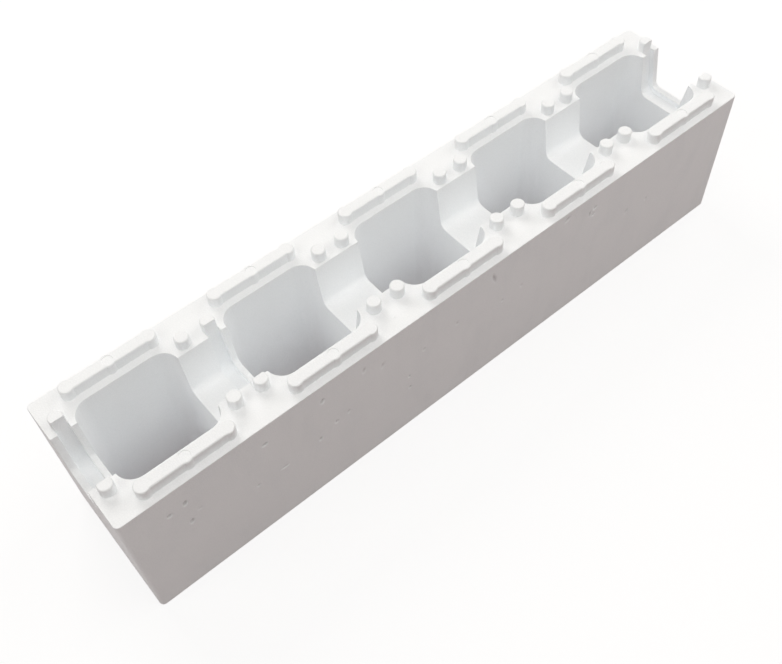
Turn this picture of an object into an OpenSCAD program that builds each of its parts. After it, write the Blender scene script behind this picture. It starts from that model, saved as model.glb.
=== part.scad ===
// Pool wall block of white expanded polystyrene foam, moulded in one piece.
// Courses stack on the pegs and ribs, and concrete is poured down the cells and along the saddles.
// X runs along the wall, Y runs through it and Z is up. The origin is at the middle of the underside.

/* [Block] */
// Number of cells in the block
cell_count = 5; // [2:1:6]
// Distance from one cell to the next, and from one web to the next
cell_pitch = 250; // [240:2:280]
// Width of the block, through the wall it builds
block_width = 250; // [240:2:300]
// Height of one course, from the underside to the top face
course_height = 268; // [200:2:320]
// Radius on the upright corners of the block
corner_radius = 8; // [2:1:12]

/* [Cells] */
// Thickness of the two long walls
wall_thickness = 46; // [42:1:54]
// Thickness of the webs between the cells
web_thickness = 86; // [80:1:100]
// Radius in the upright corners of a cell
cell_corner_radius = 28; // [12:1:32]

/* [Saddles] */
// Width of a saddle at the top face
saddle_width = 104; // [90:1:110]
// Depth of a saddle below the top face
saddle_depth = 78; // [50:1:110]
// Lean of a saddle's sides from the upright, in degrees
saddle_lean = 9; // [0:0.5:12]
// Radius between a saddle's sides and its floor
saddle_radius = 14; // [6:1:24]

/* [Slider slots] */
// Width of a slot along the block, for an end stop that slides in from above
slot_width = 21; // [12:1:26]
// How far a slot is cut behind the sides and the floor of the saddle
slot_depth = 9; // [4:0.5:12]
// Full web that has a slot too, counted from the left end
slotted_web = 1; // [1:1:4]

/* [Pegs and ribs] */
// Height of the pegs and ribs above the top face
stud_height = 19; // [8:1:26]
// Bevel round the top of each peg and rib
stud_bevel = 1.5; // [0.5:0.5:2.5]
// Diameter of a peg
peg_diameter = 23; // [16:1:25]
// Distance between the two pegs of a pair, along the block
peg_spacing = 45; // [40:1:50]
// Gap between the edge of a saddle and the pegs beside it
peg_gap = 4; // [2:0.5:6]
// Width of the straight part of a rib
rib_width = 20; // [12:1:22]
// Diameter of the round bosses at the middle and the ends of a rib
boss_diameter = 24; // [23:0.5:28]
// Distance from one end boss of a rib to the other
boss_span = 134; // [90:2:144]
// Diameter of the round filler mark on the middle boss
mark_diameter = 17; // [8:1:18]
// Depth of the filler mark
mark_depth = 1; // [0.5:0.5:3]

/* [Underside] */
// Clearance on every side of a peg or rib in the socket or groove above it
socket_clearance = 0.5; // [0.2:0.1:1.5]
// Space left above a peg or rib that is fully home in its socket
socket_headroom = 1; // [0.5:0.5:4]

/* [Hidden] */

foam_white = [0.97, 0.97, 0.97];
$fn = 72;

// How far a stud reaches into the face it stands on, and a cut runs past the face it opens
overlap = 1;

block_length = cell_count * cell_pitch;
cell_length = cell_pitch - web_thickness;
cell_width = block_width - 2 * wall_thickness;
saddle_floor = course_height - saddle_depth;
socket_depth = stud_height + socket_headroom;

// Rows of pegs beside the saddles, and of ribs along the middle of each wall
peg_y = saddle_width / 2 + peg_gap + peg_diameter / 2;
rib_y = (block_width - wall_thickness) / 2;

cells = [0 : cell_count - 1];
sides = [-1, 1];

// Webs are counted from 0, the half web at the left end, to cell_count, the half web at the right end.
function web_x(i) = (i - cell_count / 2) * cell_pitch;
function cell_x(i) = web_x(i) + cell_pitch / 2;

// A pair of pegs stands across each web, and half a pair on the half web at each end.
peg_xs = [for (i = cells, side = sides) cell_x(i) + side * (cell_pitch - peg_spacing) / 2];

// A slot runs through the outermost pegs and through one row of pegs on the slotted web.
slot_xs = [peg_xs[0], web_x(slotted_web) + peg_spacing / 2, peg_xs[len(peg_xs) - 1]];

// Centre line of a saddle's side where it would meet the floor, and the centre of the rounding there
saddle_foot = saddle_width / 2 - saddle_depth * tan(saddle_lean);
rounding_y = saddle_foot - saddle_radius * (1 - sin(saddle_lean)) / cos(saddle_lean);

// Upright prism with four round corners, centred on the origin and standing on z = 0
module rounded_prism(length, width, height, radius) {
    linear_extrude(height) {
        square([length, width - 2 * radius], center = true);
        square([length - 2 * radius, width], center = true);
        for (x = sides, y = sides)
            translate([x * (length / 2 - radius), y * (width / 2 - radius)])
                circle(radius);
    }
}

// Lays a profile drawn in Y and Z along X, centred on the origin
module along_x(length) {
    rotate([90, 0, 90])
        linear_extrude(length, center = true)
            children();
}

// Round stud with a bevelled top, standing on z = 0 and rooted below it
module round_stud(diameter, height) {
    radius = diameter / 2;
    rotate_extrude()
        polygon([
            [0, -overlap],
            [radius, -overlap],
            [radius, height - stud_bevel],
            [radius - stud_bevel, height],
            [0, height]
        ]);
}

// Straight bar with a bevelled top, standing on z = 0 and rooted below it
module bar(length, width, height) {
    half = width / 2;
    along_x(length)
        polygon([
            [-half, -overlap],
            [half, -overlap],
            [half, height - stud_bevel],
            [half - stud_bevel, height],
            [stud_bevel - half, height],
            [-half, height - stud_bevel]
        ]);
}

// Rib for one cell: a bar that joins three round bosses. The growth makes the groove for it.
module rib(height, growth = 0) {
    bar(boss_span, rib_width + 2 * growth, height);
    for (step = [-1 : 1])
        translate([step * boss_span / 2, 0, 0])
            round_stud(boss_diameter + 2 * growth, height);
}

// All pegs and ribs, as they stand on the top face. The growth makes the sockets for them.
module studs(height, growth = 0) {
    for (x = peg_xs, side = sides)
        translate([x, side * peg_y, 0])
            round_stud(peg_diameter + 2 * growth, height);
    for (i = cells, side = sides)
        translate([cell_x(i), side * rib_y, 0])
            rib(height, growth);
}

// Profile of a saddle with z = 0 at its floor. Its sides lean outwards up to the top face of the block,
// and from there they rise straight up. The growth moves the sides, the roundings and the floor outwards.
module saddle_profile(rise, growth = 0) {
    radius = saddle_radius + growth;
    side_y = rounding_y + radius * cos(saddle_lean);
    side_z = saddle_radius - radius * sin(saddle_lean);
    mouth_y = saddle_width / 2 + growth / cos(saddle_lean);
    polygon([
        [-mouth_y, saddle_depth + rise],
        [-mouth_y, saddle_depth],
        [-side_y, side_z],
        [-rounding_y, -growth],
        [rounding_y, -growth],
        [side_y, side_z],
        [mouth_y, saddle_depth],
        [mouth_y, saddle_depth + rise]
    ]);
    for (side = sides)
        translate([side * rounding_y, saddle_radius])
            circle(radius);
}

// Solid foam before it is hollowed: the body with its pegs and ribs
module blank() {
    rounded_prism(block_length, block_width, course_height, corner_radius);
    translate([0, 0, course_height])
        studs(stud_height);
}

// Cells for the concrete, right through the block
module cell_cuts() {
    for (i = cells)
        translate([cell_x(i), 0, -overlap])
            rounded_prism(cell_length, cell_width, course_height + 2 * overlap, cell_corner_radius);
}

// Saddles in the tops of all webs, cut as one channel from end to end
module saddle_cut() {
    translate([0, 0, saddle_floor])
        along_x(block_length + 2 * overlap)
            saddle_profile(overlap);
}

// Slots that follow the saddle's profile, and take an upright flat off the pegs beside them
module slot_cuts() {
    for (x = slot_xs)
        translate([x, 0, saddle_floor])
            along_x(slot_width)
                saddle_profile(stud_height + overlap, slot_depth);
}

// Shallow round marks in the middle bosses, left by the fillers of the mould
module filler_marks() {
    for (i = cells, side = sides)
        translate([cell_x(i), side * rib_y, course_height + stud_height - mark_depth])
            cylinder(d = mark_diameter, h = mark_depth + overlap);
}

// Sockets and grooves in the underside, which fit over the pegs and ribs of the course below
module underside_cuts() {
    studs(socket_depth, socket_clearance);
}

module wall_block() {
    color(foam_white)
        difference() {
            blank();
            cell_cuts();
            saddle_cut();
            slot_cuts();
            filler_marks();
            underside_cuts();
        }
}

wall_block();
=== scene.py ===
"""Dresses a pool wall block as one moulding of white foam, and lights it on a plain white studio floor.

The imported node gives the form. Its copy gets rounded edges, a fine skin on its outer sides and the small
dents of handling, and it wears a finish of fused beads. Lengths are in metres where nothing else is said.
"""

from __future__ import annotations

import logging
from dataclasses import dataclass, field
from enum import Enum
from typing import Any, Union

import bmesh
import bpy
import numpy as np
from mathutils import Euler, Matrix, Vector
from mathutils.geometry import delaunay_2d_cdt


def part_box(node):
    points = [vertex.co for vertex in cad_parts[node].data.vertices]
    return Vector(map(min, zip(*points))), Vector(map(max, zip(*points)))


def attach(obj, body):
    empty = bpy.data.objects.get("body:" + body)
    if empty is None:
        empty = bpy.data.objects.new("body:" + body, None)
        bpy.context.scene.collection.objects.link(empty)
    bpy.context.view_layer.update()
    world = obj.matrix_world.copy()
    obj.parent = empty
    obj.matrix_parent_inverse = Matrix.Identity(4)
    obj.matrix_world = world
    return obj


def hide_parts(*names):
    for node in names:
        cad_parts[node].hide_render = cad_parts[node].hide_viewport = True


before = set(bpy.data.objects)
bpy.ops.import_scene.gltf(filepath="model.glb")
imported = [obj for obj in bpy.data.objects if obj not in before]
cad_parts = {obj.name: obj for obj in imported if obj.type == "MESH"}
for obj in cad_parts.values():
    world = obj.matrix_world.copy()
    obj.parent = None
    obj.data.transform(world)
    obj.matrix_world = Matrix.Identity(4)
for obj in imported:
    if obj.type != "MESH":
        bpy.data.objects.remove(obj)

LOG = logging.getLogger("wall_block")
MM = 0.001
Number = Union[int, float]
Colour = tuple[float, float, float]
WHITE = (1.0, 1.0, 1.0, 1.0)
DIFFUSE_BOUNCES = 12  # enough for light to reach the bottoms of the white cells
TINY = 1e-18  # least squared length that is divided by, in square metres


# ---------------------------------------------------------------- shader maths


class Signal:
    """A shader socket that Python's operators turn into Math nodes."""

    def __init__(self, board: Board, socket: bpy.types.NodeSocket) -> None:
        """Wraps one output socket of a node on the board."""
        self.board = board
        self.socket = socket

    def _math(self, operation: str, first: Value, second: Value = 0.0) -> Signal:
        """Adds one Math node.

        Args:
            operation: the Math node's operation.
            first: the first operand.
            second: the second operand, which some operations ignore.

        Returns:
            The node's result.
        """
        node = self.board.add("ShaderNodeMath", {"operation": operation}, {0: first, 1: second})
        return Signal(self.board, node.outputs[0])

    def __add__(self, other: Value) -> Signal:
        """Returns self + other."""
        return self._math("ADD", self, other)

    def __radd__(self, other: Value) -> Signal:
        """Returns other + self."""
        return self._math("ADD", other, self)

    def __sub__(self, other: Value) -> Signal:
        """Returns self - other."""
        return self._math("SUBTRACT", self, other)

    def __rsub__(self, other: Value) -> Signal:
        """Returns other - self."""
        return self._math("SUBTRACT", other, self)

    def __mul__(self, other: Value) -> Signal:
        """Returns self * other."""
        return self._math("MULTIPLY", self, other)

    def __rmul__(self, other: Value) -> Signal:
        """Returns other * self."""
        return self._math("MULTIPLY", other, self)

    def at_most(self, limit: Value) -> Signal:
        """Returns the lesser of self and the limit."""
        return self._math("MINIMUM", self, limit)


Value = Union[Signal, Number]


class Board:
    """A node tree that is filled through one method, with helpers for the patterns that the finishes use."""

    def __init__(self, tree: bpy.types.NodeTree) -> None:
        """Empties the tree and keeps it."""
        tree.nodes.clear()
        self.tree = tree

    def add(self, kind: str, settings: dict[str, Any] | None = None,
            inputs: dict[str | int, Any] | None = None) -> bpy.types.Node:
        """Adds a node, sets it up and then fills its sockets.

        Args:
            kind: the node's type.
            settings: attributes of the node, which are set first.
            inputs: a value, socket or signal for each named or numbered input.

        Returns:
            The node.
        """
        node = self.tree.nodes.new(kind)
        for name, value in (settings or {}).items():
            setattr(node, name, value)
        for name, value in (inputs or {}).items():
            source = value.socket if isinstance(value, Signal) else value
            if isinstance(source, bpy.types.NodeSocket):
                self.tree.links.new(source, node.inputs[name])
            else:
                node.inputs[name].default_value = source
        return node

    def signal(self, node: bpy.types.Node, output: str | int = 0) -> Signal:
        """Returns one output of a node as a signal."""
        return Signal(self, node.outputs[output])

    def noise(self, place: Any, size: float, detail: float = 2.0) -> Signal:
        """Returns fractal noise from 0 to 1, with features of a given size in metres."""
        inputs = {"Vector": place, "Scale": 1.0 / size, "Detail": detail, "Roughness": 0.55}
        return self.signal(self.add("ShaderNodeTexNoise", {"noise_dimensions": "3D"}, inputs), "Fac")

    def ramp(self, value: Value, low: float, high: float) -> Signal:
        """Returns 0 below low and 1 above high, with a smooth step between them."""
        inputs = {"Value": value, "From Min": low, "From Max": high}
        node = self.add("ShaderNodeMapRange", {"interpolation_type": "SMOOTHSTEP"}, inputs)
        return self.signal(node, "Result")

    def blend(self, share: Value, first: Any, second: Any) -> bpy.types.NodeSocket:
        """Returns a colour between the first, at a share of 0, and the second, at a share of 1."""
        node = self.add("ShaderNodeMix", {"data_type": "RGBA"}, {"Factor": share})
        for socket, value in zip((node.inputs[6], node.inputs[7]), (first, second)):
            if isinstance(value, bpy.types.NodeSocket):
                self.tree.links.new(value, socket)
            else:
                socket.default_value = (*value, 1.0)
        return node.outputs[2]


def white_to_eye(board: Board) -> Signal:
    """Returns 1 for camera, mirror and glass rays, and 0 for the rays that carry light between surfaces."""
    path = board.add("ShaderNodeLightPath")
    seen = [board.signal(path, f"Is {kind} Ray") for kind in ("Camera", "Glossy", "Transmission")]
    return (seen[0] + seen[1] + seen[2]).at_most(1.0)


# ---------------------------------------------------------------- the foam's finish


@dataclass(frozen=True)
class BeadedFoam:
    """Moulded skin of expanded polystyrene: flattened beads with thin seams between them, and painted shade
    in its pits.

    Attributes:
        pale: colour of a clean bead.
        deep: colour in the seams and the faint blotches.
        pit_shade_colour: painted shade in the pits, a dark grey-brown that stands in for the shadow in their
            hollows.
        bead: usual width of a bead.
        seam: share of a bead's width that its seam takes.
        relief: height of a bead's crown above its seams.
        roughness: roughness of a bead's skin.
        skin_y: distance from the block's middle plane beyond which the faint upright streaks show.
        skin_edge: distance over which the streaks come in.
        seam_tint: share of the deep colour in a seam.
        bead_tint: share of the deep colour in the deepest of the beads.
        blotch_tint: share of the deep colour in a blotch.
        streak_tint: share of the deep colour in a streak.
        grain_tint: share of the deep colour in the grain.
        pit_shade_share: share of the painted shade at the bottom of a full pit.
        blotch: usual width of a blotch.
        streak: usual width of a streak.
        stretch: a streak's width as a share of its height.
        grain: usual width of a grain.
    """

    pale: Colour = (0.958, 0.977, 0.989)
    deep: Colour = (0.85, 0.875, 0.895)
    # painted shade for the pits, not a colour of the foam
    pit_shade_colour: Colour = (0.30, 0.26, 0.26)
    bead: float = 3.6 * MM
    seam: float = 0.16
    relief: float = 0.14 * MM
    roughness: float = 0.58
    skin_y: float = 122 * MM
    skin_edge: float = 1.0 * MM
    seam_tint: float = 0.30
    bead_tint: float = 0.07
    blotch_tint: float = 0.10
    streak_tint: float = 0.28
    grain_tint: float = 0.05
    pit_shade_share: float = 0.32
    blotch: float = 110 * MM
    streak: float = 35 * MM
    stretch: float = 0.35
    grain: float = 1.1 * MM

    def material(self, name: str) -> bpy.types.Material:
        """Builds the material.

        Args:
            name: the material's name.

        Returns:
            The material, which reads Object coordinates.
        """
        material = bpy.data.materials.new(name)
        material.use_nodes = True
        board = Board(material.node_tree)
        place = board.add("ShaderNodeTexCoord").outputs["Object"]
        seam, crown, shade, lift = self._beads(board, place)
        grain = board.noise(place, self.grain, 2.0)
        share = seam * self.seam_tint + shade * self.bead_tint + grain * self.grain_tint
        share = share + self._stains(board, place)
        # Painted shade: the deeper a vertex lies in a pit, the more the grey-brown of the pits darkens its
        # colour, standing in for the shadow there.
        pit = board.signal(board.add("ShaderNodeAttribute", {"attribute_name": "pit"}), "Fac")
        pit_shading = board.ramp(pit, 0.1, 1.0) * self.pit_shade_share
        bump = board.add("ShaderNodeBump", {}, {
            "Strength": 1.0,
            "Distance": self.relief,
            "Height": crown * 0.5 + lift * 0.18 - seam * 0.35 + grain * 0.10,
        })
        skin = board.add("ShaderNodeBsdfPrincipled", {}, {
            "Base Color": board.blend(pit_shading, board.blend(share, self.pale, self.deep), self.pit_shade_colour),
            "Roughness": self.roughness + seam * 0.16 + (board.noise(place, self.streak, 2.0) - 0.5) * 0.12,
            "IOR": 1.45,
            "Specular IOR Level": 0.35,
            "Normal": bump.outputs["Normal"],
        })
        board.add("ShaderNodeOutputMaterial", {}, {"Surface": skin.outputs[0]})
        return material

    def _beads(self, board: Board, place: bpy.types.NodeSocket) -> tuple[Signal, Signal, Signal, Signal]:
        """Draws the beads as Voronoi cells.

        Args:
            board: the material's board.
            place: the Object coordinates.

        Returns:
            The seams, the crowns, and a random shade and a random height for each bead, all from 0 to 1.
        """
        inputs = {"Vector": self._stirred(board, place), "Scale": 1.0 / self.bead, "Randomness": 0.9}
        cells = board.add("ShaderNodeTexVoronoi", {"feature": "F1"}, inputs)
        rims = board.add("ShaderNodeTexVoronoi", {"feature": "DISTANCE_TO_EDGE"}, inputs)
        seam = 1.0 - board.ramp(board.signal(rims, "Distance"), 0.0, self.seam)
        crown = 1.0 - board.ramp(board.signal(cells, "Distance"), 0.0, 0.75)
        parts = board.add("ShaderNodeSeparateColor", {}, {"Color": cells.outputs["Color"]})
        return seam, crown, board.signal(parts, 0), board.signal(parts, 1)

    def _stains(self, board: Board, place: bpy.types.NodeSocket) -> Signal:
        """Returns the share of the deep colour in the blotches and, on the outer walls, the streaks."""
        blotch = board.ramp(board.noise(place, self.blotch, 3.0), 0.42, 0.75)
        drawn = board.add("ShaderNodeMapping", {}, {"Vector": place, "Scale": (1.0, 1.0, self.stretch)})
        streak = board.ramp(board.noise(drawn.outputs["Vector"], self.streak, 3.0), 0.42, 0.72)
        through = board.signal(board.add("ShaderNodeSeparateXYZ", {}, {"Vector": place}), "Y")
        outer = board.ramp(through * through, self.skin_y ** 2, (self.skin_y + self.skin_edge) ** 2)
        return blotch * self.blotch_tint + streak * outer * self.streak_tint

    def _stirred(self, board: Board, place: bpy.types.NodeSocket) -> bpy.types.NodeSocket:
        """Returns the place shifted by up to a fifth of a bead, so that the seams bend a little."""
        noise = board.add("ShaderNodeTexNoise", {"noise_dimensions": "3D"},
                          {"Vector": place, "Scale": 0.8 / self.bead, "Detail": 1.0})
        centred = board.add("ShaderNodeVectorMath", {"operation": "SUBTRACT"},
                            {0: noise.outputs["Color"], 1: (0.5, 0.5, 0.5)})
        shift = board.add("ShaderNodeVectorMath", {"operation": "SCALE"},
                          {0: centred.outputs[0], "Scale": 0.4 * self.bead})
        return board.add("ShaderNodeVectorMath", {"operation": "ADD"},
                         {0: place, 1: shift.outputs[0]}).outputs[0]


# ---------------------------------------------------------------- the block


class Side(Enum):
    """A flat outer side of the block, by the direction that it faces."""

    FRONT = (0.0, -1.0, 0.0)
    BACK = (0.0, 1.0, 0.0)
    LEFT = (-1.0, 0.0, 0.0)
    RIGHT = (1.0, 0.0, 0.0)
    TOP = (0.0, 0.0, 1.0)

    @property
    def out(self) -> np.ndarray:
        """The unit vector that points out of the block."""
        return np.array(self.value)

    @property
    def plane(self) -> np.ndarray:
        """The unit vectors that run across and up the side as it is looked at, one in each row."""
        up = np.array((0.0, 1.0, 0.0) if self is Side.TOP else (0.0, 0.0, 1.0))
        return np.stack([np.cross(up, self.out), up])


@dataclass(frozen=True)
class Dent:
    """A small pit in the foam, or a raised bead where its depth is negative. Lengths are in millimetres.

    Attributes:
        side: the side that it is on.
        across: its place across the side, from the middle.
        up: its place up the side, from the underside or, on top, from the middle.
        length: its longer width.
        depth: its depth in the middle.
        slim: its shorter width as a share of the longer one.
        turn: the angle from across the side to its longer width, in degrees.
    """

    side: Side
    across: float
    up: float
    length: float
    depth: float
    slim: float = 0.7
    turn: float = 0.0

    def _axes(self) -> np.ndarray:
        """Returns its two half widths as vectors on the side, in metres, one in each row."""
        cos = np.cos(np.radians(self.turn))
        sin = np.sin(np.radians(self.turn))
        return np.array([(cos, sin), (-sin * self.slim, cos * self.slim)]) * self.length / 2 * MM

    def reach(self, places: np.ndarray) -> np.ndarray:
        """Returns the distance of each place from the middle, as a share of the way to the rim."""
        offset = places - np.array((self.across, self.up)) * MM
        return np.linalg.norm(offset @ np.linalg.inv(self._axes()), axis=1)

    def drop(self, places: np.ndarray) -> np.ndarray:
        """Returns how far the pit lowers places with a reach of t: depth times (1 - t squared) squared."""
        return self.depth * MM * (1 - np.minimum(self.reach(places), 1) ** 2) ** 2

    def rings(self, count: int = 7, spokes: int = 18, twist: float = 2.0) -> np.ndarray:
        """Works out places that follow the pit's shape, on rings that turn as they grow.

        Args:
            count: the number of rings. The last but one is the rim.
            spokes: the number of places on each ring.
            twist: how far the rings turn from the middle to the rim, in radians.

        Returns:
            The middle and the places on the rings, in metres.
        """
        turn = np.arange(spokes) * 2 * np.pi / spokes
        share, angle = np.meshgrid(np.arange(1, count + 1) / (count - 1), turn)
        angle = angle + share * twist
        circle = np.stack([share * np.cos(angle), share * np.sin(angle)], axis=-1).reshape(-1, 2)
        circle = np.vstack([np.zeros((1, 2)), circle])
        return circle @ self._axes() + np.array((self.across, self.up)) * MM


# Marks of handling, listed from the left end of each side to its right end
MARKS = (
    Dent(Side.FRONT, -556, 216, 12, 3.4, 0.90, 10),
    Dent(Side.FRONT, -530, 220, 17, 3.8, 0.60, 75),
    Dent(Side.FRONT, -531, 166, 16, 3.6, 0.65, 70),
    Dent(Side.FRONT, -514, 184, 12, 1.1),
    Dent(Side.FRONT, -422, 135, 10, 2.1, 0.90),
    Dent(Side.FRONT, -396, 225, 14, 3.3, 0.70, 5),
    Dent(Side.FRONT, -374, 134, 24, 1.9, 0.30, -2),
    Dent(Side.FRONT, -306, 139, 13, 2.4, 0.75, 60),
    Dent(Side.FRONT, -293, 231, 15, 3.4, 0.65, 65),
    Dent(Side.FRONT, -274, 154, 12, 1.8, 0.80, 90),
    Dent(Side.FRONT, -251, 158, 14, 1.9, 0.60, 80),
    Dent(Side.FRONT, -215, 234, 20, 1.9, 0.50, 75),
    Dent(Side.FRONT, -181, 214, 20, 1.6, 0.60, 70),
    Dent(Side.FRONT, -130, 103, 11, 2.2, 0.80, 90),
    Dent(Side.FRONT, -131, 135, 10, 1.9, 0.70, 80),
    Dent(Side.FRONT, -99, 179, 12, 1.6, 0.80, 90),
    Dent(Side.FRONT, -31, 185, 12, 1.6, 0.80, 90),
    Dent(Side.FRONT, 47, 232, 40, 2.6, 0.25, 108),
    Dent(Side.FRONT, 69, 159, 11, 1.6, 0.80, 90),
    Dent(Side.FRONT, 112, 163, 13, 1.4, 0.70, 90),
    Dent(Side.FRONT, 207, 252, 20, 2.6, 0.60, 30),
    Dent(Side.FRONT, 263, 225, 20, 2.9, 0.28, 85),
    Dent(Side.FRONT, 272, 218, 12, 2.9, 0.60, 30),
    Dent(Side.FRONT, 274, 232, 13, 3.0, 0.55, 20),
    Dent(Side.FRONT, 366, 159, 20, 1.9, 0.45, 65),
    Dent(Side.FRONT, 417, 155, 12, 1.4, 0.80, 90),
    Dent(Side.BACK, -410, 70, 9, 1.2),
    Dent(Side.BACK, -120, 205, 12, 1.4, 0.50, 35),
    Dent(Side.BACK, 185, 120, 8, 1.0),
    Dent(Side.BACK, 430, 238, 14, 1.1, 0.40, 10),
    Dent(Side.LEFT, -84, 60, 9, 1.1),
    Dent(Side.LEFT, 70, 150, 8, 0.9, 0.60, 50),
    Dent(Side.RIGHT, -92, 170, 10, 1.2, 0.50, 30),
    Dent(Side.RIGHT, 40, 45, 8, 0.9),
    Dent(Side.TOP, -368, -95, 6, -0.5, 0.90),
    Dent(Side.TOP, -344, -106, 5, -0.5, 0.90),
    Dent(Side.TOP, -134, -99, 6, -0.7, 0.80),
)


@dataclass(frozen=True)
class Edges:
    """Rounding of the edges, as the distance that it takes to each side of an edge.

    Attributes:
        body: on the block's own edges, and at the feet of its pegs and ribs.
        stud: on the pegs and ribs, and on the underside.
        fine: round the shallow filler marks, and on the flats of the pegs that a slot cuts.
        segments: strips across each rounded edge.
        least_angle: edges that turn less than this belong to a curve and stay as they are, in degrees.
        mark_pitch: distance from one filler mark to the next, along the block.
        mark_y: distance of the filler marks from the block's middle plane.
        mark_reach: radius round a filler mark's middle that holds its edges.
        mark_rise: height below the top of the studs that holds the filler marks.
        stud_rise: height below the top of the studs that holds all their edges but those at their feet.
        flat_y: distance from the middle plane that holds the flats of the cut pegs.
        socket_top: height that holds the sockets and grooves in the underside.
    """

    body: float = 1.0 * MM
    stud: float = 0.5 * MM
    fine: float = 0.3 * MM
    segments: int = 2
    least_angle: float = 25.0
    mark_pitch: float = 250 * MM
    mark_y: float = 102 * MM
    mark_reach: float = 8.8 * MM
    mark_rise: float = 1.1 * MM
    stud_rise: float = 18 * MM
    flat_y: float = 62 * MM
    socket_top: float = 21 * MM

    def width(self, start: Vector, end: Vector, top: float) -> float:
        """Chooses the rounding of one edge by its place.

        Args:
            start: one end of the edge.
            end: its other end.
            top: height of the top of the studs.

        Returns:
            The distance that the rounding takes to each side of the edge.
        """
        middle = (start + end) / 2
        aside = abs(middle.x - round(middle.x / self.mark_pitch) * self.mark_pitch)
        near_mark = np.hypot(aside, abs(middle.y) - self.mark_y) < self.mark_reach
        on_stud = middle.z > top - self.stud_rise
        if (near_mark and middle.z > top - self.mark_rise) or (on_stud and abs(middle.y) < self.flat_y):
            return self.fine
        if on_stud or min(start.z, end.z) < self.socket_top:
            return self.stud
        return self.body


@dataclass(frozen=True)
class Skin:
    """The surface of a flat side, which waves a little and carries dents.

    Attributes:
        step: distance between the points of its grid.
        margin: least distance of a point from the side's outline.
        wave: how far it sinks between its crests.
        lengths: least and greatest distance between the crests.
        fade: distance from the outline over which the waves grow.
        pit: depth of a pit whose bottom gets the full painted shade.
        apart: least distance of the grid from a dent's middle, as a share of the way to its rim.
        specks: number of tiny random pits on a square metre.
        widths: least and greatest width of such a pit, in millimetres.
        shallow: depth of such a pit as a share of its width.
        clear: least distance of such a pit from the side's outline.
        free: least distance of such a pit from a dent's middle, as a share of the way to its rim.
        seed: start of the random numbers for the waves.
        speck_seed: start of the random numbers for the tiny pits.
    """

    step: float = 14 * MM
    margin: float = 1.0 * MM
    wave: float = 0.6 * MM
    lengths: tuple[float, float] = (45 * MM, 160 * MM)
    fade: float = 30 * MM
    pit: float = 2.5 * MM
    apart: float = 1.3
    specks: float = 60.0
    widths: tuple[float, float] = (2.5, 5.0)
    shallow: float = 0.07
    clear: float = 9 * MM
    free: float = 1.8
    seed: int = 12
    speck_seed: int = 62

    def points(self, side: Side, outline: np.ndarray) -> tuple[np.ndarray, np.ndarray, np.ndarray]:
        """Works out the points inside one plate of a side.

        Args:
            side: the side that the plate lies on.
            outline: the plate's corners on the side's plane, in order.

        Returns:
            The points on the plane, and how far each one sinks below it with the waves and with the dents.
        """
        marks = [mark for mark in MARKS if mark.side is side]
        dents = marks + self._specks(side, outline, marks)
        lo, hi = outline.min(axis=0), outline.max(axis=0)
        lines = [np.linspace(a, b, max(int((b - a) / self.step), 2)) for a, b in zip(lo, hi)]
        grid = np.stack(np.meshgrid(*lines), axis=-1).reshape(-1, 2)
        grid = grid[np.all([dent.reach(grid) > self.apart for dent in dents], axis=0)] if dents else grid
        points = np.vstack([grid, *(dent.rings() for dent in dents)])
        points = points[inside(points, outline) & (distance(points, outline) > self.margin)]
        share = np.minimum(distance(points, outline) / self.fade, 1)
        sink = self._waves(side, points) * share ** 2 * (3 - 2 * share)
        return points, sink, sum((dent.drop(points) for dent in dents), np.zeros(len(points)))

    def _waves(self, side: Side, points: np.ndarray) -> np.ndarray:
        """Returns slow waves from 0 to the full depth: the mean of six sines, in random directions."""
        chance = np.random.default_rng(self.seed + list(Side).index(side))
        angle, phase = chance.uniform(0, 2 * np.pi, (2, 6))
        spread = 2 * np.pi / chance.uniform(*self.lengths, 6)
        runs = points @ np.stack([np.cos(angle), np.sin(angle)]) * spread + phase
        return self.wave * (1 + np.sin(runs).mean(axis=1)) / 2

    def _specks(self, side: Side, outline: np.ndarray, marks: list[Dent]) -> list[Dent]:
        """Returns tiny pits at random places on one plate, clear of its outline and of the marks."""
        chance = np.random.default_rng(self.speck_seed + list(Side).index(side))
        lo, hi = outline.min(axis=0), outline.max(axis=0)
        count = int(self.specks * np.prod(hi - lo))
        places = chance.uniform(lo, hi, (count, 2))
        sizes = chance.uniform(*self.widths, count)
        clear = distance(places, outline) > self.clear
        for mark in marks:
            clear &= mark.reach(places) > self.free
        return [Dent(side, *place, size, size * self.shallow, 0.8, size * 90)
                for place, size in zip(places[clear] / MM, sizes[clear])]


def inside(points: np.ndarray, outline: np.ndarray) -> np.ndarray:
    """Tells which points lie inside an outline: a level ray from them crosses it an odd number of times."""
    start, end = outline, np.roll(outline, -1, axis=0)
    height = points[:, None, 1]
    crossed = (start[:, 1] > height) != (end[:, 1] > height)
    rise = np.where(start[:, 1] == end[:, 1], 1.0, end[:, 1] - start[:, 1])
    place = start[:, 0] + (height - start[:, 1]) / rise * (end[:, 0] - start[:, 0])
    return (crossed & (points[:, None, 0] < place)).sum(axis=1) % 2 == 1


def distance(points: np.ndarray, outline: np.ndarray) -> np.ndarray:
    """Returns each point's distance from an outline: the least of those from its straight edges."""
    run = np.roll(outline, -1, axis=0) - outline
    offset = points[:, None] - outline
    share = np.clip((offset * run).sum(axis=2) / np.maximum((run ** 2).sum(axis=1), TINY), 0, 1)
    return np.linalg.norm(offset - share[..., None] * run, axis=2).min(axis=1)


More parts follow.
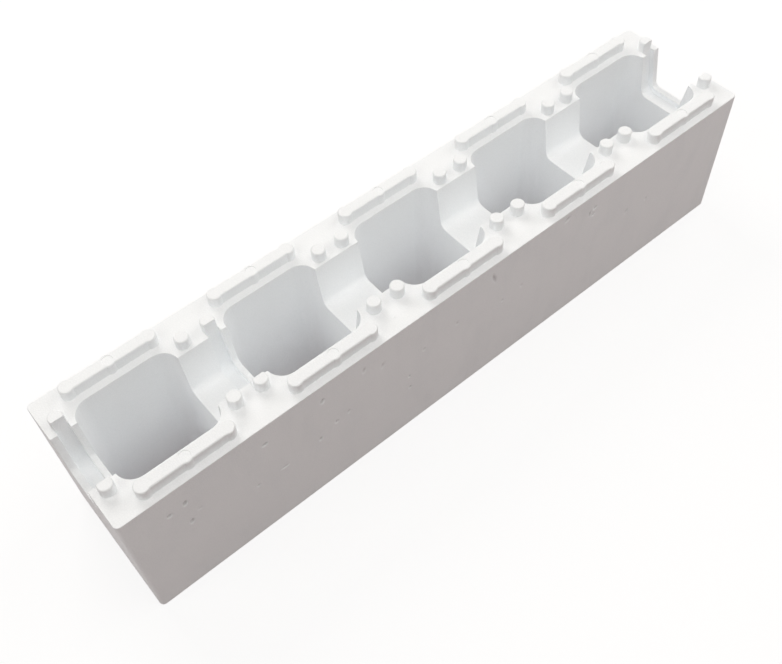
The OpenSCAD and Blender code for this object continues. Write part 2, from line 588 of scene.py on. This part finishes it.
@dataclass
class FoamBlock:
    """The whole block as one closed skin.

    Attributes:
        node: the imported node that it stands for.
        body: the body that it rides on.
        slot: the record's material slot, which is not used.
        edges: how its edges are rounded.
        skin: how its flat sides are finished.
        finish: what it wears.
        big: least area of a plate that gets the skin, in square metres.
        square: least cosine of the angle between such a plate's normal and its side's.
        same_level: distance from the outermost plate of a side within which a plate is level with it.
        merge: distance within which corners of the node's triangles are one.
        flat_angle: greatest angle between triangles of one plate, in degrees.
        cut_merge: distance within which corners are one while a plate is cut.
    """

    node: str = "wall_block"
    body: str = "root"
    slot: str = "foam"
    edges: Edges = field(default_factory=Edges)
    skin: Skin = field(default_factory=Skin)
    finish: BeadedFoam = field(default_factory=BeadedFoam)
    big: float = 0.005
    square: float = 0.9999
    same_level: float = 0.1 * MM
    merge: float = 0.001 * MM
    flat_angle: float = 0.5
    cut_merge: float = 1e-9

    def build(self) -> bpy.types.Object:
        """Makes the piece.

        Returns:
            The finished object, which rides on its body and replaces its node.
        """
        rounded = self._rounded(self._plates())
        flat = self._normals(rounded)
        mesh, pits = self._skinned(rounded)
        mesh.attributes.new("pit", "FLOAT", "POINT").data.foreach_set("value", pits)
        normals = self._normals(mesh)
        normals[:len(flat)] = flat
        mesh.shade_smooth()
        mesh.normals_split_custom_set_from_vertices(normals)
        mesh.materials.append(self.finish.material("beaded_foam"))
        piece = bpy.data.objects.new("foam_block", mesh)
        bpy.context.scene.collection.objects.link(piece)
        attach(piece, self.body)
        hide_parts(self.node)
        LOG.info("%s: %d faces", piece.name, len(mesh.polygons))
        return piece

    def _plates(self) -> bmesh.types.BMesh:
        """Returns a copy of the node with the loose triangles of each flat face joined to a plate."""
        form = bmesh.new()
        form.from_mesh(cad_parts[self.node].data)
        bmesh.ops.remove_doubles(form, verts=form.verts, dist=self.merge)
        limit = np.radians(self.flat_angle)
        bmesh.ops.dissolve_limit(form, angle_limit=limit, verts=form.verts, edges=form.edges)
        return form

    def _rounded(self, form: bmesh.types.BMesh) -> bpy.types.Mesh:
        """Rounds every sharp edge by the width for its place.

        Args:
            form: the block in flat plates, which is freed.

        Returns:
            The rounded mesh.
        """
        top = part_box(self.node)[1].z
        weights = form.edges.layers.float.new("bevel_weight_edge")
        for edge in form.edges:
            if np.degrees(edge.calc_face_angle(0.0)) > self.edges.least_angle:
                start, end = (vertex.co for vertex in edge.verts)
                edge[weights] = self.edges.width(start, end, top) / self.edges.body
        mesh = bpy.data.meshes.new("plates")
        form.to_mesh(mesh)
        form.free()
        holder = bpy.data.objects.new("plates", mesh)
        bpy.context.scene.collection.objects.link(holder)
        bevel = holder.modifiers.new("soft_edges", "BEVEL")
        bevel.limit_method = "WEIGHT"
        bevel.width = self.edges.body
        bevel.segments = self.edges.segments
        bevel.use_clamp_overlap = False
        bevel.loop_slide = False
        ready = holder.evaluated_get(bpy.context.evaluated_depsgraph_get())
        rounded = bpy.data.meshes.new_from_object(ready)
        bpy.data.objects.remove(holder)
        return rounded

    def _skinned(self, mesh: bpy.types.Mesh) -> tuple[bpy.types.Mesh, np.ndarray]:
        """Gives the flat outer sides their fine skin.

        Each large plate at the outermost level of a side is cut into triangles between its own corners and
        the points of the skin, and those points sink below the plate.

        Args:
            mesh: the rounded mesh, which is removed.

        Returns:
            The mesh with the skin, and how deep each vertex lies in a pit, from 0 to 1.
        """
        points = np.empty(len(mesh.vertices) * 3)
        mesh.vertices.foreach_get("co", points)
        points = points.reshape(-1, 3)
        pits = [np.zeros(len(points))]
        faces = {polygon.index: tuple(polygon.vertices) for polygon in mesh.polygons}
        large = [polygon for polygon in mesh.polygons if polygon.area > self.big]
        for side in Side:
            facing = [plate for plate in large if np.dot(plate.normal, side.out) > self.square]
            level = max(np.dot(plate.center, side.out) for plate in facing)
            for plate in facing:
                if np.dot(plate.center, side.out) > level - self.same_level:
                    ring = np.array(faces.pop(plate.index))
                    outline = points[ring] @ side.plane.T
                    places, sink, drop = self.skin.points(side, outline)
                    triangles = self._triangles(outline, places)
                    names = np.append(ring, len(points) + np.arange(len(places)))
                    faces.update(enumerate(names[triangles].tolist(), max(faces) + 1 + plate.index))
                    lifted = places @ side.plane + np.outer(level - sink - drop, side.out)
                    points = np.vstack([points, lifted])
                    pits.append(np.clip(drop / self.skin.pit, 0, 1))
            LOG.info("%s side: %d plates", side.name.lower(), len(facing))
        skinned = bpy.data.meshes.new("foam_block")
        skinned.from_pydata(points, [], list(faces.values()))
        bpy.data.meshes.remove(mesh)
        return skinned, np.concatenate(pits)

    def _triangles(self, outline: np.ndarray, places: np.ndarray) -> np.ndarray:
        """Joins an outline and the places inside it by Delaunay triangles.

        Args:
            outline: the corners of the outline, in order.
            places: the places inside it.

        Returns:
            Three numbers for each triangle, which count through the outline and then the places. A corner
            that the cut adds, where the outline crosses itself by a hair, takes the nearest one's number.
        """
        flat = np.vstack([outline, places])
        ring = list(range(len(outline)))
        spots = [Vector(place) for place in flat]
        made, _, triangles, origins, _, _ = delaunay_2d_cdt(spots, [], [ring], 1, self.cut_merge)
        names = np.array([origin[0] if origin else np.linalg.norm(flat - place, axis=1).argmin()
                          for place, origin in zip(made, origins)])
        triangles = names[np.array(triangles)]
        return triangles[np.all(triangles != np.roll(triangles, 1, axis=1), axis=1)]

    @staticmethod
    def _normals(mesh: bpy.types.Mesh) -> np.ndarray:
        """Returns each vertex's normal: the mean of its faces' normals, weighted by their areas."""
        count = len(mesh.polygons)
        area, normal = np.empty(count), np.empty(count * 3)
        total, corner = np.empty(count, int), np.empty(len(mesh.loops), int)
        mesh.polygons.foreach_get("area", area)
        mesh.polygons.foreach_get("normal", normal)
        mesh.polygons.foreach_get("loop_total", total)
        mesh.loops.foreach_get("vertex_index", corner)
        pull = np.repeat(normal.reshape(-1, 3) * area[:, None], total, axis=0)
        mean = np.zeros((len(mesh.vertices), 3))
        np.add.at(mean, corner, pull)
        return mean / np.linalg.norm(mean, axis=1, keepdims=True)


# ---------------------------------------------------------------- the studio


@dataclass(frozen=True)
class SoftLamp:
    """A square soft box on a dome round the block, which it faces.

    Attributes:
        name: the lamp's name.
        bearing: its direction seen from above, turning from +X to +Y, in degrees.
        height: its angle above the floor, in degrees.
        power: its power in watts.
        colour: its colour.
        size: length of its side.
        radius: its distance from the block's middle.
    """

    name: str
    bearing: float
    height: float
    power: float
    colour: Colour = (1.0, 0.97, 0.94)
    size: float = 1.7
    radius: float = 3.0

    def build(self) -> bpy.types.Object:
        """Makes the lamp and returns it."""
        light = bpy.data.lights.new(self.name, "AREA")
        light.shape = "SQUARE"
        light.size = self.size
        light.energy = self.power
        light.color = self.colour
        lamp = bpy.data.objects.new(self.name, light)
        turn, rise = np.radians(self.bearing), np.radians(self.height)
        ray = Vector((np.cos(rise) * np.cos(turn), np.cos(rise) * np.sin(turn), np.sin(rise)))
        lamp.location = ray * self.radius + Vector((0.0, 0.0, 0.1))
        lamp.rotation_euler = ray.to_track_quat("Z", "Y").to_euler()
        bpy.context.scene.collection.objects.link(lamp)
        return lamp


@dataclass(frozen=True)
class Studio:
    """A plain white floor, a pale sky and soft lamps.

    Attributes:
        floor: colour of the floor as it lights the block.
        paint: colour of the floor as the eye sees it.
        reach: length of the floor's side.
        fade: share of plain white in what the eye sees of the floor. The rest keeps the block's shadow.
        near: distance from the block's middle at which the eye begins to see more plain white.
        rim: distance from the block's middle at which the eye sees plain white alone.
        glow: strength of that plain white.
        sky: colour of the sky as it lights the block.
        sky_strength: strength of the sky.
        gap: depth of the floor below the underside, so that the two faces don't meet.
        lamps: the soft lamps.
    """

    floor: Colour = (0.45, 0.375, 0.375)
    paint: Colour = (0.95, 0.95, 0.95)
    reach: float = 24.0
    fade: float = 0.75
    near: float = 0.8
    rim: float = 2.4
    glow: float = 1.06
    sky: Colour = (1.0, 0.965, 0.925)
    sky_strength: float = 0.26
    gap: float = 0.2 * MM
    lamps: tuple[SoftLamp, ...] = (
        SoftLamp("back", 90, 46, 33.0),
        SoftLamp("left", 180, 42, 17.0),
        SoftLamp("right", 0, 42, 17.5),
        SoftLamp("front", 270, 64, 18.0, size=2.2),
        SoftLamp("front_right", 315, 42, 7.0),
    )

    def build(self) -> None:
        """Makes the floor, the sky and the lamps."""
        self._floor()
        self._sky()
        for lamp in self.lamps:
            lamp.build()

    def _floor(self) -> None:
        """Lays the floor: one square just below the underside."""
        half = self.reach / 2
        mesh = bpy.data.meshes.new("floor")
        square = [(-half, -half), (half, -half), (half, half), (-half, half)]
        mesh.from_pydata([(x, y, -self.gap) for x, y in square], [], [(0, 1, 2, 3)])
        mesh.materials.append(self._floor_paint())
        floor = bpy.data.objects.new("floor", mesh)
        bpy.context.scene.collection.objects.link(floor)

    def _floor_paint(self) -> bpy.types.Material:
        """Returns a matt paint that the eye sees as mostly plain white."""
        material = bpy.data.materials.new("floor_paint")
        material.use_nodes = True
        board = Board(material.node_tree)
        light = board.add("ShaderNodeBsdfDiffuse", {}, {"Color": (*self.floor, 1.0)})
        shaded = board.add("ShaderNodeBsdfDiffuse", {}, {"Color": (*self.paint, 1.0)})
        plain = board.add("ShaderNodeEmission", {}, {"Color": WHITE, "Strength": self.glow})
        place = board.add("ShaderNodeTexCoord").outputs["Object"]
        away = board.add("ShaderNodeVectorMath", {"operation": "LENGTH"}, {0: place})
        far = board.ramp(board.signal(away, "Value"), self.near, self.rim)
        share = self.fade + far * (1.0 - self.fade)
        seen = board.add("ShaderNodeMixShader", {}, {0: share, 1: shaded.outputs[0], 2: plain.outputs[0]})
        mixed = board.add("ShaderNodeMixShader", {}, {
            0: white_to_eye(board),
            1: light.outputs[0],
            2: seen.outputs[0],
        })
        board.add("ShaderNodeOutputMaterial", {}, {"Surface": mixed.outputs[0]})
        return material

    def _sky(self) -> None:
        """Makes the sky, which the eye sees as plain white."""
        world = bpy.data.worlds.new("sky")
        world.use_nodes = True
        board = Board(world.node_tree)
        sky = {"Color": (*self.sky, 1.0), "Strength": self.sky_strength}
        light = board.add("ShaderNodeBackground", {}, sky)
        plain = board.add("ShaderNodeBackground", {}, {"Color": WHITE, "Strength": 1.0})
        mixed = board.add("ShaderNodeMixShader", {}, {
            0: white_to_eye(board),
            1: light.outputs[0],
            2: plain.outputs[0],
        })
        board.add("ShaderNodeOutputWorld", {}, {"Surface": mixed.outputs[0]})
        bpy.context.scene.world = world


@dataclass(frozen=True)
class Viewpoint:
    """Where the block is looked at from.

    Attributes:
        place: the camera's place.
        turn: its turns about X, Y and Z, in degrees.
        lens: its focal length in millimetres, for a picture 36 mm wide.
    """

    place: tuple[float, float, float] = (-0.66027, -0.78318, 1.40925)
    turn: tuple[float, float, float] = (36.1546, 2.0889, -39.9625)
    lens: float = 44.596

    def build(self) -> bpy.types.Object:
        """Makes the camera and gives it to the scene."""
        data = bpy.data.cameras.new("camera")
        data.lens = self.lens
        data.sensor_width = 36.0
        data.clip_end = 100.0
        camera = bpy.data.objects.new("camera", data)
        camera.location = self.place
        camera.rotation_euler = Euler(np.radians(self.turn), "XYZ")
        bpy.context.scene.collection.objects.link(camera)
        bpy.context.scene.camera = camera
        return camera


def main() -> None:
    """Builds the block, the studio and the camera."""
    logging.basicConfig(level=logging.INFO, format="%(name)s: %(message)s")
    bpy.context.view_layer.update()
    scene = bpy.context.scene
    scene.view_settings.view_transform = "Standard"
    scene.cycles.diffuse_bounces = DIFFUSE_BOUNCES
    FoamBlock().build()
    Studio().build()
    Viewpoint().build()


if __name__ == "__main__":
    main()
